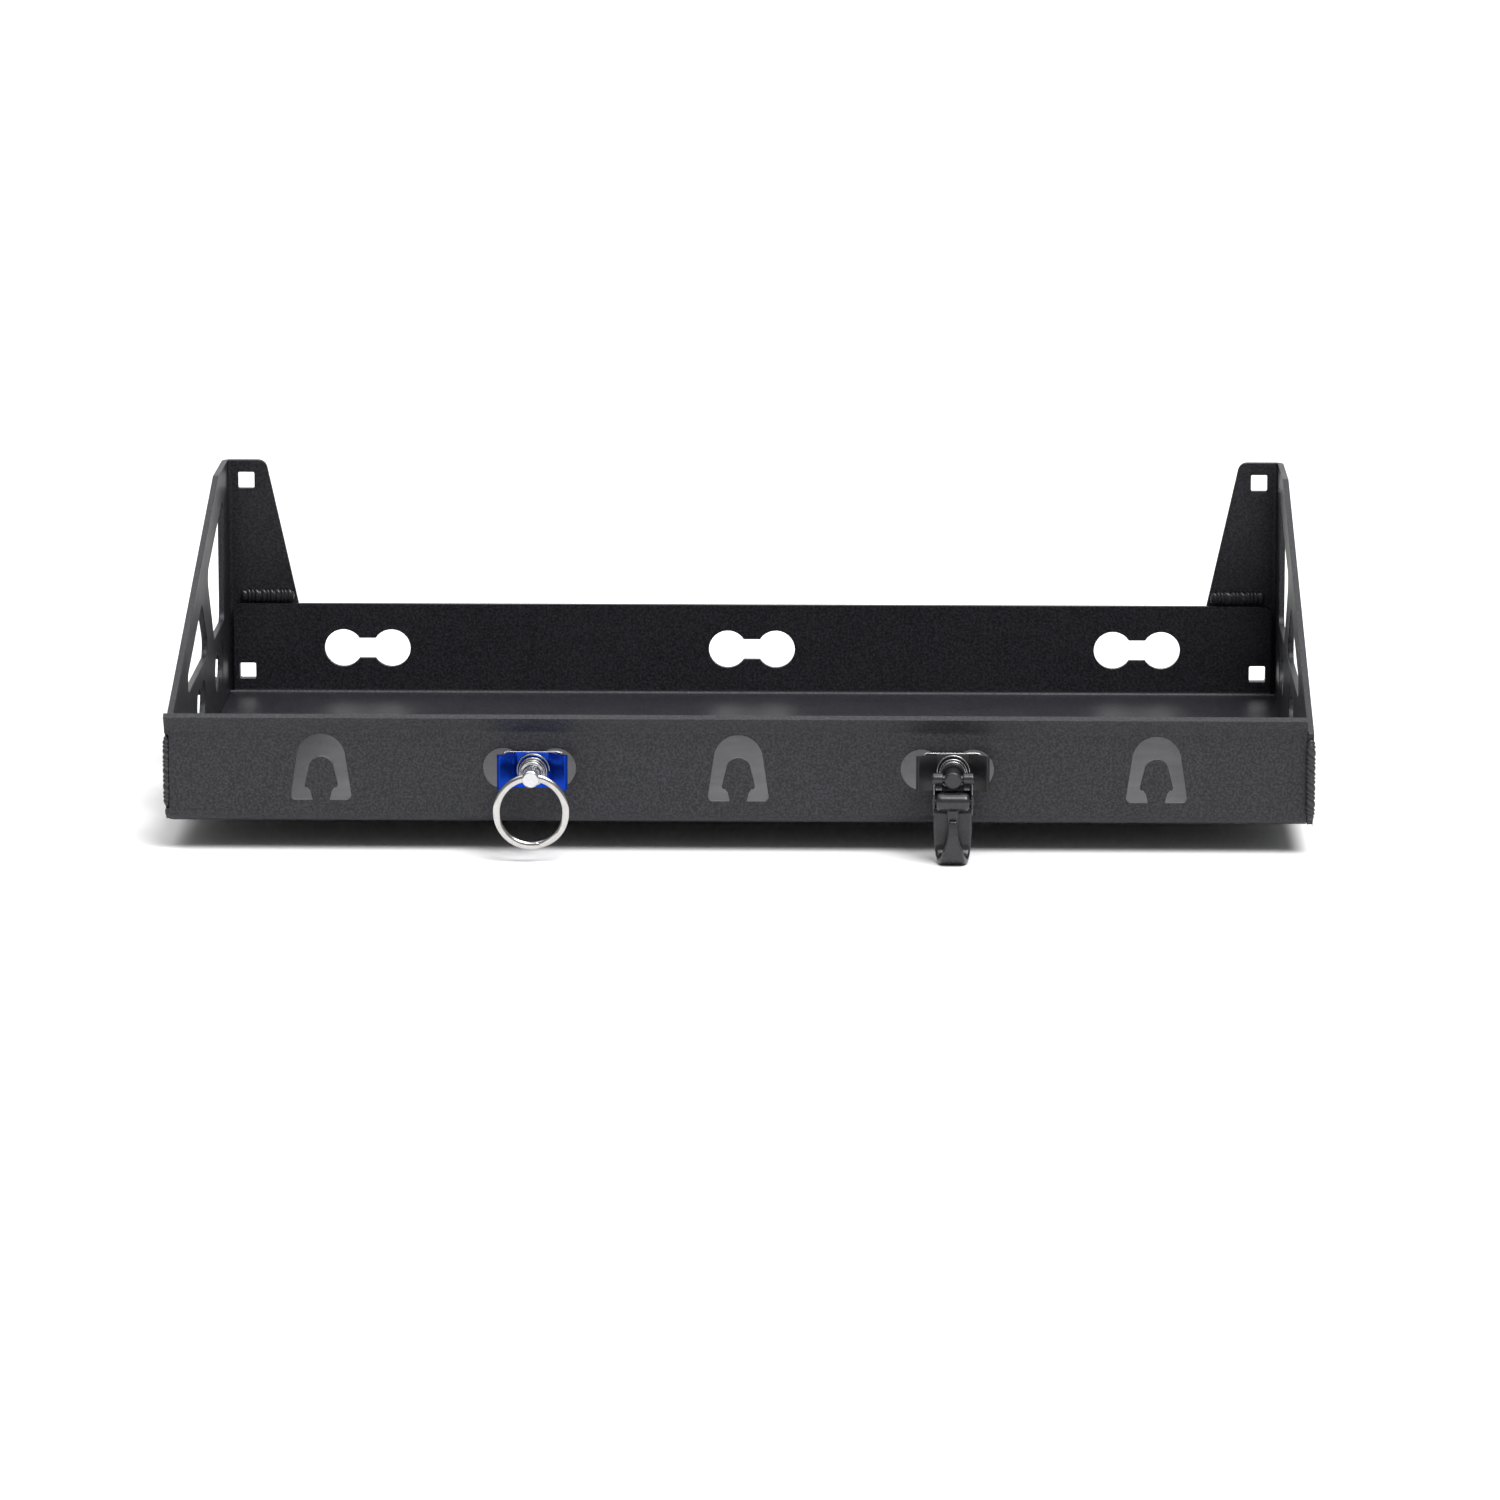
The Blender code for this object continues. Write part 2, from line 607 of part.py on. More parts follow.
def build_spring(name, x, start):
    """Conical coil from the slider's web to the clip, flat at both ends."""
    per_turn = 14
    count = round(SPRING_TURNS * per_turn)
    wide, narrow = SPRING_WIDE, STUD_R + GAP + SPRING_WIRE / 2 + 0.15
    low = start + GAP + SPRING_WIRE / 2
    high = CLIP_OUT - GAP - SPRING_WIRE / 2
    points = []
    for i in range(count + 1):
        t = i / count
        flat = 0.75 / SPRING_TURNS
        rise = min(1.0, max(0.0, (t - flat / 2) / (1 - flat)))
        radius = wide + (narrow - wide) * rise ** 0.5
        angle = 2 * math.pi * SPRING_TURNS * t
        points.append((radius * math.cos(angle), -(low + (high - low) * rise),
                       radius * math.sin(angle)))
    add_part(wire("coil", points, SPRING_WIRE / 2), name, SPRING, place=at_slot(x), smooth=50)


def build_split_ring(parent):
    """Two flat turns of wire with one step between them, hanging through the stud."""
    mean, half_w = (RING_OUTER + RING_INNER) / 2, (RING_OUTER - RING_INNER) / 2
    half_t = RING_WIRE / 2
    layer = RING_WIRE / 2 + 0.1
    step, clear = math.radians(17), math.radians(22)
    total = 4 * math.pi - 2 * clear
    rings = []
    count = 108
    for i in range(count + 1):
        theta = clear + total * i / count
        blend = min(1.0, max(0.0, (theta - 2 * math.pi) / step / 2 + 0.5))
        blend = blend * blend * (3 - 2 * blend)
        depth = layer * (1 - 2 * blend)
        angle = RING_STEP + math.pi / 2 + theta
        taper = 0.75 if i in (0, count) else 1.0
        ring = []
        for du, dv in ((-1, -0.55), (-0.55, -1), (0.55, -1), (1, -0.55),
                       (1, 0.55), (0.55, 1), (-0.55, 1), (-1, 0.55)):
            radius = mean + du * half_w * taper
            ring.append((radius * math.cos(angle), -CROSS_OUT + depth + dv * half_t * taper,
                         radius * math.sin(angle) - mean))
        rings.append(ring)
    add_part(loft("split_ring", rings), "split_ring", STEEL, parent=parent,
             place=at_slot(RING_X), smooth=40)


def build_ring_fitting():
    """Stud, clip, sprung slider and the ring through the stud."""
    build_stud("ring_stud", RING_X, STEEL, RING_HOLE_R)
    build_clip("ring_spring_clip", RING_X, STEEL)
    lift = pivot("ring_release_pull", (RING_X, FRONT_Y, TRACK_Z))
    face = build_slider("ring", RING_X, RING_PLAY, RING_WINGS, BLUE, lift)
    build_spring("ring_spring", RING_X, face)
    build_split_ring(pivot("ring_swing", (RING_X, FRONT_Y - CROSS_OUT, TRACK_Z)))


# ---- hook: limb lofted along its curve, with block, cheeks and ears ------------------------
def limb_rings():
    """Cross-sections of the hook's limb: down the spine, round the bow and up the nose."""
    path = [(-5.4, 8.0, 17.2, 4.0), (-5.4, 14.0, 18.4, 4.0), (-5.5, 20.0, 19.0, 4.0),
            (-5.5, 26.0, 18.8, 4.0), (-5.2, 31.0, 18.0, 4.0)]
    for i in range(1, 10):
        angle = math.radians(180 - 18 * i)
        width = 18.0 - 10.0 * (i / 10) ** 1.5
        path.append((1.2 + 6.4 * math.cos(angle), 31.0 + 8.7 * math.sin(angle), width, 3.7))
    path += [(7.6, 31.0, 7.2, 3.4), (7.6, 27.0, 5.2, 3.2), (7.4, 23.0, 4.6, 3.0),
             (7.2, 20.2, 4.4, 2.8), (7.1, 19.2, 3.6, 2.0)]
    rings = []
    for i, (ahead, down, width, thick) in enumerate(path):
        before, after = path[max(0, i - 1)], path[min(len(path) - 1, i + 1)]
        along = Vector((after[0] - before[0], after[1] - before[1])).normalized()
        normal = Vector((-along.y, along.x))
        ring = []
        for du, dv in ((-1, -0.45), (-0.9, -1), (0.9, -1), (1, -0.45),
                       (1, 0.45), (0.9, 1), (-0.9, 1), (-1, 0.45)):
            place = Vector((ahead, down)) + normal * dv * thick / 2
            ring.append((du * width / 2, -CROSS_OUT - place.x, -place.y))
        rings.append(ring)
    return rings


def hook_side(points):
    """Outline in the YZ plane from (ahead, down, radius) corners measured from the pin."""
    return rounded([(-CROSS_OUT - a, -w, r) for a, w, r in points])


def build_hook(swing, opening):
    """The cast body and its two pins on the swing pivot, and the gate on the opening one."""
    block = hook_side([(-7.3, 12.0, 2), (-3.2, 6.0, 1), (1.0, 7.0, 0.5), (-0.7, 10.2, 2.5),
                       (0.4, 14.5, 0), (-3.6, 17.6, 0), (-7.3, 17.6, 0)])
    cheek = hook_side([(-7.1, 12.2, 2), (-4.0, 3.0, 1), (2.5, 2.0, 1), (7.2, 6.4, 2.6),
                       (7.2, 13.6, 2.8), (0.0, 15.1, 2), (-7.1, 20.0, 0)])
    body = prism("body", block, -9.2, 9.2, "YZ")
    pieces = [loft("limb", limb_rings())]
    for side in (-1, 1):
        low, high = sorted((side * (BARREL_HALF + GAP), side * CHEEK_OUT))
        pieces.append(prism("cheek", cheek, low, high, "YZ"))
        low, high = sorted((side * (EAR_IN + 0.1), side * (CHEEK_OUT - 0.1)))
        arm = hook_side([(-3.1, 0, 0), (1.2, 0, 0), (0.6, 2.6, 0), (3.0, 5.0, 0), (-5.0, 6.0, 0)])
        pieces.append(prism("arm", arm, low, high, "YZ"))
        ear = rod_x("ear", EAR_R, (EAR_OUT - EAR_IN) / 2, CROSS_OUT, 0, 24)
        ear.data.transform(Matrix.Translation(mm(side * (EAR_OUT + EAR_IN) / 2, 0, 0)))
        pieces.append(ear)
    body = unite(body, pieces)
    holes = [rod_x("hole", PIN_R + GAP, 12, CROSS_OUT, 0),
             rod_x("hole", GATE_PIN_R + GAP, 12, CROSS_OUT + BARREL_AHEAD, BARREL_DOWN)]
    place = at_slot(HOOK_X)
    add_part(cut(body, holes), "hook_body", BLACK, parent=swing, place=place, smooth=35)
    pin = rod_x("pin", PIN_R, EAR_OUT + 0.2, CROSS_OUT, 0)
    add_part(pin, "hook_pin", BLACK, parent=swing, place=place, smooth=35)
    pin = rod_x("pin", GATE_PIN_R, EAR_OUT + 0.2, CROSS_OUT + BARREL_AHEAD, BARREL_DOWN)
    add_part(pin, "gate_pin", BLACK, parent=swing, place=place, smooth=35)

    # gate: a hollow barrel on its pin, with a narrow tongue that shuts behind the nose
    bore = GATE_PIN_R + GAP
    outside = arc(BARREL_R - BARREL_ROUND, BARREL_HALF - BARREL_ROUND, BARREL_ROUND, 90, 0, 5)
    profile = [(bore, BARREL_HALF)] + outside + [(r, -z) for r, z in outside[::-1]]
    profile += [(bore, -BARREL_HALF), (bore, -POCKET_HALF), (POCKET_R, -POCKET_HALF),
                (POCKET_R, POCKET_HALF), (bore, POCKET_HALF), (bore, BARREL_HALF)]
    barrel = turned("barrel", profile, 24)
    centre = Matrix.Translation(mm(0, -CROSS_OUT - BARREL_AHEAD, -BARREL_DOWN))
    barrel.data.transform(centre @ Matrix.Rotation(math.radians(90), 4, "Y"))
    tongue = []
    for down, wide, back, ahead in ((13.7, 5.4, 2.6, 5.4), (17.0, 5.0, 3.0, 5.4),
                                    (20.0, 4.8, 3.2, 5.3), (23.4, 4.4, 3.4, 5.2)):
        near, far, reach = -CROSS_OUT - back, -CROSS_OUT - ahead, wide / 2
        tongue.append([(-reach, near, -down), (reach, near, -down),
                       (reach, far, -down), (-reach, far, -down)])
    gate = unite(barrel, [loft("tongue", tongue)])
    add_part(gate, "hook_gate", BLACK, parent=opening, place=place, smooth=35)

    # torsion spring in the barrel's pocket
    per_turn = 10
    count, reach = GATE_TURNS * per_turn, POCKET_HALF - 0.8
    points = []
    for i in range(count + 1):
        angle = 2 * math.pi * i / per_turn
        points.append((-reach + 2 * reach * i / count,
                       -CROSS_OUT - BARREL_AHEAD + GATE_COIL_R * math.cos(angle),
                       -BARREL_DOWN + GATE_COIL_R * math.sin(angle)))
    coil = wire("coil", points, GATE_WIRE / 2, 1)
    add_part(coil, "gate_spring", SPRING, parent=swing, place=place, smooth=50)


def build_hook_fitting():
    """Stud, clip, sprung slider, and the hook that swings on the stud's cross pin."""
    build_stud("hook_stud", HOOK_X, BLACK, PIN_R + GAP)
    build_clip("hook_spring_clip", HOOK_X, BLACK)
    lift = pivot("hook_release_pull", (HOOK_X, FRONT_Y, TRACK_Z))
    face = build_slider("hook", HOOK_X, HOOK_PLAY, HOOK_WINGS, BLACK, lift)
    build_spring("hook_spring", HOOK_X, face)
    swing = pivot("hook_swing", (HOOK_X, FRONT_Y - CROSS_OUT, TRACK_Z))
    hinge = (HOOK_X, FRONT_Y - CROSS_OUT - BARREL_AHEAD, TRACK_Z - BARREL_DOWN)
    build_hook(swing, pivot("gate_open", hinge, swing))


build_pan()
build_side_plate("left_side_plate", -1, SHEET + GAP)
build_side_plate("right_side_plate", 1, 0.0)
build_welds()
build_ring_fitting()
build_hook_fitting()
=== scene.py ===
"""Looks of a bolt-on cargo tray with tie-down track, a ring fitting and a snap-hook fitting."""

import json
import math

import bmesh
import bpy
import numpy as np
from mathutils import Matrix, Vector

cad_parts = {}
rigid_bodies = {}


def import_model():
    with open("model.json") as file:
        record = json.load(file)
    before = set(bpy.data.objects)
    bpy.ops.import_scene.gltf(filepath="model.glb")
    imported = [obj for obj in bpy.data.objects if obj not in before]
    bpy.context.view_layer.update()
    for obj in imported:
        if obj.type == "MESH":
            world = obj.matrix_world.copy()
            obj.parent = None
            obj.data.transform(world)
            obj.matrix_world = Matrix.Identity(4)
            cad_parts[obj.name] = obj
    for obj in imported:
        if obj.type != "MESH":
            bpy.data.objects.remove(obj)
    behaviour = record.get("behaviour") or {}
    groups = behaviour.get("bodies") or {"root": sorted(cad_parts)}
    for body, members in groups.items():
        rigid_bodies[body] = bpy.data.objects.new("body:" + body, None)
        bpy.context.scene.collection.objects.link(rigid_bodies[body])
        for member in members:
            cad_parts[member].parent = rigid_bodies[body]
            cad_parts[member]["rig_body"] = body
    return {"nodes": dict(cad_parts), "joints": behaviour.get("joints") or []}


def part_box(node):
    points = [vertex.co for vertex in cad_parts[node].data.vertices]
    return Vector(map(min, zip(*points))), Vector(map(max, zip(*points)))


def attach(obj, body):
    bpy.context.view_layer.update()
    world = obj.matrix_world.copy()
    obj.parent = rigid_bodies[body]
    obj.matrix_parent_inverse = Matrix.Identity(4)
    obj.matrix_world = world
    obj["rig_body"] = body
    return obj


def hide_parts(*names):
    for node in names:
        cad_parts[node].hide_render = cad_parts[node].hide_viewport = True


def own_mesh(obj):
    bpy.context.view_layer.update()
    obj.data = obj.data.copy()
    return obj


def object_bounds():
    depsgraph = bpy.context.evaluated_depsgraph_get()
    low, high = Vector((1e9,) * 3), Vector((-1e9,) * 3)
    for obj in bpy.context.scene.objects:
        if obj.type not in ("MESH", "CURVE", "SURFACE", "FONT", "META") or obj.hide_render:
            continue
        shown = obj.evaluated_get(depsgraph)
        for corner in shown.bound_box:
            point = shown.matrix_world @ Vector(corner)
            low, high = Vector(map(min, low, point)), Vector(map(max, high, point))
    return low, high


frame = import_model()
cad_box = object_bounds()


# ---- Studio ---------------------------------------------------------------------------
# The tray stands on a pale seamless floor in a dim room with a bright ceiling and a bright
# backdrop, and one broad soft lamp high in front of it. A long lens looks almost square on.
CAMERA_PLACE = (0.0797, -3.957, 0.741)
CAMERA_DOWN, CAMERA_LEFT = 11.0, 1.17       # degrees below level, and turned towards -X
LENS, SENSOR = 182.4, 36.0                  # millimetres

camera = bpy.data.objects.new("camera", bpy.data.cameras.new("camera"))
bpy.context.scene.collection.objects.link(camera)
camera.location = CAMERA_PLACE
camera.rotation_euler = (math.radians(90 - CAMERA_DOWN), 0, math.radians(CAMERA_LEFT))
camera.data.lens, camera.data.sensor_width = LENS, SENSOR
camera.data.clip_end = 100
bpy.context.scene.camera = camera
bpy.context.scene.view_settings.view_transform = "Standard"


def linear(code):
    """An sRGB hex colour such as 1c1c1f as linear red, green, blue and an alpha of 1."""
    parts = [int(code[i:i + 2], 16) / 255 for i in (0, 2, 4)]
    return [p / 12.92 if p <= 0.04045 else ((p + 0.055) / 1.055) ** 2.4 for p in parts] + [1.0]


def node(tree, kind, inputs, **settings):
    """Add a shader node, change its settings, and set or link each of its inputs."""
    new = tree.nodes.new("ShaderNode" + kind)
    for name, value in settings.items():
        setattr(new, name, value)
    for key, value in inputs.items():
        if isinstance(value, bpy.types.NodeSocket):
            tree.links.new(value, new.inputs[key])
        else:
            new.inputs[key].default_value = value
    return new


def start_material(name, **constants):
    """A Principled material with constants on its own sockets; gives the place on the object too."""
    mat = bpy.data.materials.new(name)
    mat.use_nodes = True
    shader = mat.node_tree.nodes["Principled BSDF"]
    for key, value in constants.items():
        shader.inputs[key.replace("_", " ")].default_value = value
    place = node(mat.node_tree, "TexCoord", {}).outputs["Object"]
    return mat, mat.node_tree, shader, place


# Matt white seamless paper: no gloss, only the faintest mottle.
PAPER = linear("f4f4f4")
paper, tree, shader, place = start_material("seamless_paper", Roughness=0.9)
shader.inputs["Specular IOR Level"].default_value = 0.0
mottle = node(tree, "TexNoise", {"Vector": place, "Scale": 2.0})
tone = node(tree, "Mix", {0: mottle.outputs[0], 6: PAPER, 7: linear("f6f6f6")}, data_type="RGBA")
tree.links.new(tone.outputs[2], shader.inputs["Base Color"])

FLOOR_HALF = 30.0
floor_mesh = bpy.data.meshes.new("floor")
ground = cad_box[0].z - 0.0002
corners = [(-FLOOR_HALF, -FLOOR_HALF, ground), (FLOOR_HALF, -FLOOR_HALF, ground),
           (FLOOR_HALF, FLOOR_HALF, ground), (-FLOOR_HALF, FLOOR_HALF, ground)]
floor_mesh.from_pydata(corners, [], [(0, 1, 2, 3)])
floor_mesh.materials.append(paper)
floor = bpy.data.objects.new("floor", floor_mesh)
bpy.context.scene.collection.objects.link(floor)

# The room is dim except for the ceiling straight above and the backdrop low behind the tray,
# which light the cut edges, the sloping faces and the tray's floor seen through its slots.
ROOM_LIGHT, CEILING_LIGHT, BACKDROP_LIGHT = 0.28, 1.9, 0.9
room = bpy.data.worlds.new("dim_room")
room.use_nodes = True
tree = room.node_tree
direction = node(tree, "SeparateXYZ", {0: node(tree, "TexCoord", {}).outputs["Generated"]})
ceiling = node(tree, "MapRange", {"Value": direction.outputs[2], "From Min": 0.72, "From Max": 0.90,
                                  "To Max": CEILING_LIGHT})
behind = node(tree, "MapRange", {"Value": direction.outputs[1], "From Min": 0.55, "From Max": 0.85,
                                 "To Max": BACKDROP_LIGHT})
strength = node(tree, "Math", {0: ceiling.outputs[0], 1: behind.outputs[0]}, operation="ADD")
strength = node(tree, "Math", {0: strength.outputs[0], 1: ROOM_LIGHT}, operation="ADD")
tree.links.new(strength.outputs[0], tree.nodes["Background"].inputs["Strength"])
tree.nodes["Background"].inputs["Color"].default_value = (1, 1, 1, 1)
bpy.context.scene.world = room


# The main lamp is a disc 34 degrees across, far away, so the whole floor is lit alike and
# shadows have soft edges about a third as wide as the height of what casts them.
MAIN_FROM = (0.30, -0.42, 0.86)
MAIN_LIGHT = 2.7
main = bpy.data.objects.new("main_lamp", bpy.data.lights.new("main_lamp", "SUN"))
main.data.energy, main.data.angle = MAIN_LIGHT, math.radians(34)
main.rotation_euler = Vector(MAIN_FROM).to_track_quat("Z", "Y").to_euler()
bpy.context.scene.collection.objects.link(main)


# ---- Pan ------------------------------------------------------------------------------
# Lip, front wall, floor and back wall are one sheet of 3 mm steel, cut by laser and folded
# in a press brake, then powder coated; the tie-down slots and tongues are cut through it.
EDGE = 0.00035              # coating rounds every cut edge by about this much
SHARP = math.radians(32)
FLAT = math.radians(0.6)    # faces closer than this to one plane are joined into one


def rounded_copy(cad_node, name, finish, edge):
    """A copy of a CAD solid with its triangles merged and its sharp edges rounded by edge."""
    mesh = frame["nodes"][cad_node].data.copy()
    bm = bmesh.new()
    bm.from_mesh(mesh)
    bmesh.ops.remove_doubles(bm, verts=bm.verts, dist=1e-6)
    bmesh.ops.dissolve_limit(bm, angle_limit=FLAT, verts=bm.verts, edges=bm.edges)
    bm.to_mesh(mesh)
    bm.free()
    mesh.name = name
    mesh.materials.clear()
    mesh.materials.append(finish)
    mesh.shade_smooth()
    mesh.set_sharp_from_angle(angle=SHARP)
    piece = bpy.data.objects.new(name, mesh)
    bpy.context.scene.collection.objects.link(piece)
    bevel = piece.modifiers.new("rounded_edges", "BEVEL")
    bevel.width, bevel.segments, bevel.limit_method = edge, 2, "ANGLE"
    bevel.angle_limit, bevel.use_clamp_overlap = SHARP, False
    piece.modifiers.new("flat_faces", "WEIGHTED_NORMAL").keep_sharp = True
    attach(piece, frame["nodes"][cad_node]["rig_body"])
    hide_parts(cad_node)
    return piece


# Fine-texture black powder coat: the cured powder stands in low grains about a millimetre
# across, which break the satin gloss into dim sparkle over a neutral, slightly cool black.
COAT_GRAIN = 0.0011
COAT_RELIEF = 0.00011
coat, tree, shader, place = start_material("black_powder_coat_fine_texture", IOR=1.5,
                                           Specular_IOR_Level=0.4)
grains = node(tree, "TexNoise", {"Vector": place, "Scale": 1 / COAT_GRAIN, "Detail": 2.0,
                                 "Roughness": 0.55})
drift = node(tree, "TexNoise", {"Vector": place, "Scale": 1 / 0.035, "Detail": 2.0})
level = node(tree, "MapRange", {"Value": grains.outputs[0], "From Min": 0.38, "From Max": 0.66})
tone = node(tree, "Mix", {0: level.outputs[0], 6: linear("0e0e12"), 7: linear("2e2e35")},
            data_type="RGBA")
tree.links.new(tone.outputs[2], shader.inputs["Base Color"])
gloss = node(tree, "MapRange", {"Value": drift.outputs[0], "From Min": 0.3, "From Max": 0.7,
                                "To Min": 0.40, "To Max": 0.48})
tree.links.new(gloss.outputs[0], shader.inputs["Roughness"])
relief = node(tree, "Bump", {"Height": grains.outputs[0], "Distance": COAT_RELIEF,
                             "Strength": 1.0})
tree.links.new(relief.outputs[0], shader.inputs["Normal"])

# Where the round at the pan's left end crosses the fold, some edges are shorter than the rounding
# is wide, so it is kept from overlapping itself. That holds it back along all the pan's edges.
pan = rounded_copy("tray_pan", "pan_sheet", coat, EDGE)
pan.modifiers["rounded_edges"].use_clamp_overlap = True


# ---- Side plates ----------------------------------------------------------------------
# Each side is a laser-cut truss of the same sheet whose rear edge is folded inwards into a
# flange with two square holes for carriage bolts; it is welded to the pan and coated with it.
for side in ("left", "right"):
    rounded_copy(side + "_side_plate", side + "_truss_plate", coat, EDGE)


# ---- Weld beads -----------------------------------------------------------------------
# Wire-fed beads join the pan to the side plates: along the flange's foot behind, up both
# front corners, and as short stitches underneath. The coat lies over their ripples.
RIPPLE = 0.0025             # from one ripple to the next
RIPPLE_DEPTH = 0.32         # share of the bead's thickness lost in the valleys
FUSED = 0.0005              # the bead runs this far into the sheets on either side
BOW = 0.35                  # ripples bow back towards the bead's start by this share of one


def closed_tube(name, rings, finish, wrap=False):
    """A mesh from rings of points, an array rings x sides x 3; both ends are filled unless it wraps."""
    count, sides = rings.shape[:2]
    ring = np.arange(count if wrap else count - 1)[:, None]
    turn = np.arange(sides)[None, :]
    here, ahead = ring * sides, (ring + 1) % count * sides
    beside = (turn + 1) % sides
    quads = np.stack([here + turn, here + beside, ahead + beside, ahead + turn], -1)
    faces = quads.reshape(-1, 4).tolist()
    if not wrap:
        faces += [list(range(sides))[::-1], list(range((count - 1) * sides, count * sides))]
    mesh = bpy.data.meshes.new(name)
    mesh.from_pydata(rings.reshape(-1, 3).tolist(), [], faces)
    bm = bmesh.new()
    bm.from_mesh(mesh)
    bmesh.ops.recalc_face_normals(bm, faces=bm.faces)
    bm.to_mesh(mesh)
    bm.free()
    mesh.materials.append(finish)
    mesh.shade_smooth()
    mesh.set_sharp_from_angle(angle=math.radians(60))
    piece = bpy.data.objects.new(name, mesh)
    bpy.context.scene.collection.objects.link(piece)
    return piece


def weld_bead(cad_node, name, finish):
    """A bead filling the box of its CAD solid.

    At distance s along it and angle a round it, the surface is an ellipse scaled twice. The
    swell of the nearest ripple is 1 - depth * (1 - |sin(pi * (s / ripple + wander + bow *
    cos a))| ^ 0.7), where wander is a slow sum of two sines that makes the ripples uneven. The
    ends close as (1 - |2 s / length - 1| ^ 10) ^ 0.3.
    """
    low, high = (np.array(corner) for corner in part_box(cad_node))
    centre, half = (low + high) / 2, (high - low) / 2
    along = int(np.argmax(half))
    across, out = [axis for axis in range(3) if axis != along]
    half[[across, out]] += FUSED
    length = 2 * half[along]
    s = np.linspace(0, length, max(60, int(length / 0.00025)))[:, None]
    a = np.linspace(0, 2 * np.pi, 28, endpoint=False)[None, :]
    wander = 0.22 * np.sin(s / RIPPLE * 1.9 + len(name)) + 0.12 * np.sin(s / RIPPLE * 0.7)
    wave = np.abs(np.sin(np.pi * (s / RIPPLE + wander + BOW * np.cos(a))))
    swell = 1 - RIPPLE_DEPTH * (1 - wave ** 0.7)
    ends = np.clip(1 - np.abs(2 * s / length - 1) ** 10, 0.002, 1) ** 0.3
    rings = np.empty((s.size, a.size, 3))
    rings[..., along] = low[along] + s
    rings[..., across] = centre[across] + half[across] * np.cos(a) * swell * ends
    rings[..., out] = centre[out] + half[out] * np.sin(a) * swell * ends
    piece = closed_tube(name, rings, finish)
    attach(piece, frame["nodes"][cad_node]["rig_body"])
    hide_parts(cad_node)


# Powder coat over weld metal: it flows off the ripples' crests, so it is smoother and
# a little glossier than on the sheet.
bead_coat, tree, shader, place = start_material("powder_coat_over_weld", IOR=1.5, Roughness=0.30)
spatter = node(tree, "TexNoise", {"Vector": place, "Scale": 1 / 0.0009, "Detail": 2.0})
tone = node(tree, "Mix", {0: spatter.outputs[0], 6: linear("18181b"), 7: linear("2c2c30")},
            data_type="RGBA")
tree.links.new(tone.outputs[2], shader.inputs["Base Color"])
relief = node(tree, "Bump", {"Height": spatter.outputs[0], "Distance": 0.00005})
tree.links.new(relief.outputs[0], shader.inputs["Normal"])

for side in ("left", "right"):
    weld_bead("weld_rear_" + side, side + "_rear_bead", bead_coat)
    weld_bead("weld_front_" + side, side + "_front_bead", bead_coat)
    for number in (1, 2, 3):
        weld_bead(f"weld_floor_{side}_{number}", f"{side}_floor_stitch_{number}", bead_coat)


# ---- Ring fitting: stud, clip and lock plate --------------------------------------------
# The stud's round foot sits behind the slot. Stud, clip and lock plate are turned or stamped
# from steel and zinc plated; the lock plate's lugs fill the slot's holes so it can't slide.
FINE_EDGE = 0.0002

# Bright zinc plate: pale, slightly blue steel with faint blotches and fine polishing marks.
plated, tree, shader, place = start_material("bright_zinc_plated_steel", Metallic=1.0)
bloom = node(tree, "TexNoise", {"Vector": place, "Scale": 1 / 0.004, "Detail": 3.0})
tone = node(tree, "Mix", {0: bloom.outputs[0], 6: linear("b4b5b8"), 7: linear("dedede")},
            data_type="RGBA")
tree.links.new(tone.outputs[2], shader.inputs["Base Color"])
gloss = node(tree, "MapRange", {"Value": bloom.outputs[0], "To Min": 0.16, "To Max": 0.34})
tree.links.new(gloss.outputs[0], shader.inputs["Roughness"])
marks = node(tree, "TexNoise", {"Vector": place, "Scale": 1 / 0.0003, "Detail": 2.0})
relief = node(tree, "Bump", {"Height": marks.outputs[0], "Distance": 0.00001})
tree.links.new(relief.outputs[0], shader.inputs["Normal"])

rounded_copy("ring_stud", "ring_plain_stud", plated, FINE_EDGE)
rounded_copy("ring_spring_clip", "ring_retaining_clip", plated, FINE_EDGE)
rounded_copy("ring_lock_plate", "ring_lug_plate", plated, FINE_EDGE)


# ---- Ring fitting: slider ---------------------------------------------------------------
# A winged plate folded from aluminium and anodised bright blue. Fingers pull its wings out
# against the spring to lift the lock plate's lugs out of the slot.

# Bright blue anodising: dyed oxide over brushed aluminium, a deep clear metallic blue.
blue, tree, shader, place = start_material("blue_anodised_aluminium", Metallic=1.0)
BRUSH = 0.00012             # distance between brush lines, drawn coarser than real
stretched = node(tree, "Mapping", {"Vector": place, "Scale": (0.04, 1.0, 1.0)})
lines = node(tree, "TexNoise", {"Vector": stretched.outputs[0], "Scale": 1 / BRUSH, "Detail": 2.0})
tone = node(tree, "Mix", {0: lines.outputs[0], 6: linear("08288c"), 7: linear("1a4cc6")},
            data_type="RGBA")
tree.links.new(tone.outputs[2], shader.inputs["Base Color"])
gloss = node(tree, "MapRange", {"Value": lines.outputs[0], "To Min": 0.22, "To Max": 0.36})
tree.links.new(gloss.outputs[0], shader.inputs["Roughness"])
relief = node(tree, "Bump", {"Height": lines.outputs[0], "Distance": 0.00001})
tree.links.new(relief.outputs[0], shader.inputs["Normal"])

rounded_copy("ring_slider", "ring_winged_slider", blue, 0.0003)


